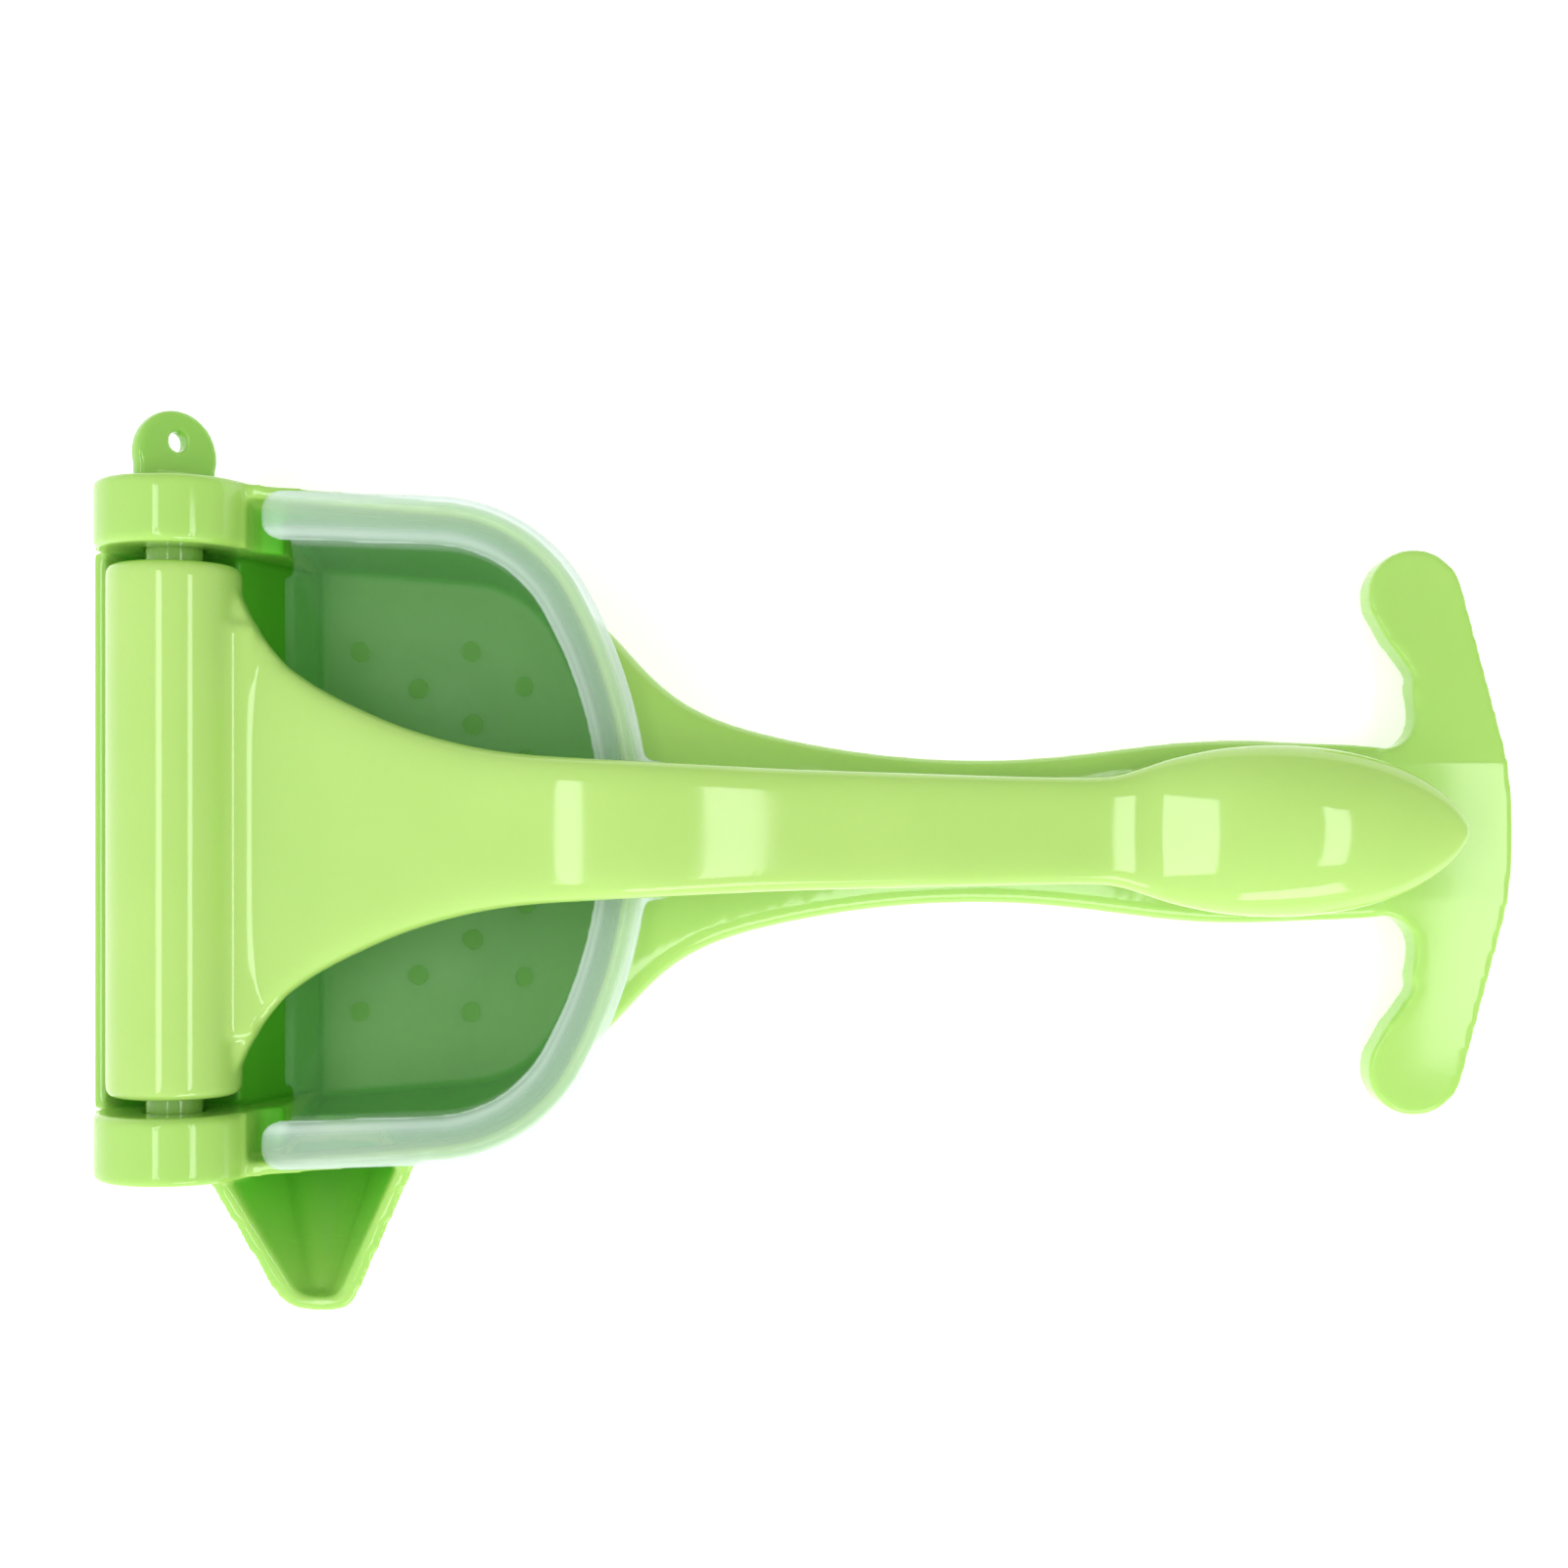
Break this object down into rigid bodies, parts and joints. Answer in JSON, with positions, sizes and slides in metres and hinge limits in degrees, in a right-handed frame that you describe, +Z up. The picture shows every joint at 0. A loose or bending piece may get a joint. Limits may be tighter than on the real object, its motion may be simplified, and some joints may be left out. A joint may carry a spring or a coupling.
{
  "type": "hand press citrus juicer",
  "caption": "Hand press for citrus fruit: spouted bowl with a lower handle and cross foot, lift-out strainer cup, hinged ribbed pressing lever and pull-out hinge pin.",
  "frame": {"origin": "on the surface that the base stands on, straight below the middle of the hinge axis", "axes": "+X from the hinge towards the handles, +Y towards the pin's pull tab, +Z up; the spout points to -Y"},
  "size_m": [0.2537, 0.1542, 0.0625],
  "materials": {
    "green_shell": "glossy injection-moulded lime green",
    "green_lever": "glossy injection-moulded lime green",
    "green_pin": "glossy injection-moulded lime green",
    "milky_strainer": "translucent milky polypropylene, satin"
  },
  "bodies": {
    "base": {"base": "green_shell"},
    "strainer": {"strainer": "milky_strainer"},
    "lever": {"lever": "green_lever"},
    "hinge_pin": {"hinge_pin": "green_pin"}
  },
  "joints": [
    {"name": "lever_hinge", "type": "hinge", "parent": "base", "child": "lever", "pos_m": [0, 0, 0.04], "axis": [0, -1, 0], "range_deg": [0, 135]},
    {"name": "strainer_lift", "type": "slide", "parent": "base", "child": "strainer", "axis": [0, 0, 1], "range_m": [0, 0.003]},
    {"name": "pin_pull", "type": "slide", "parent": "base", "child": "hinge_pin", "axis": [0, 1, 0], "range_m": [0, 0.118]}
  ]
}
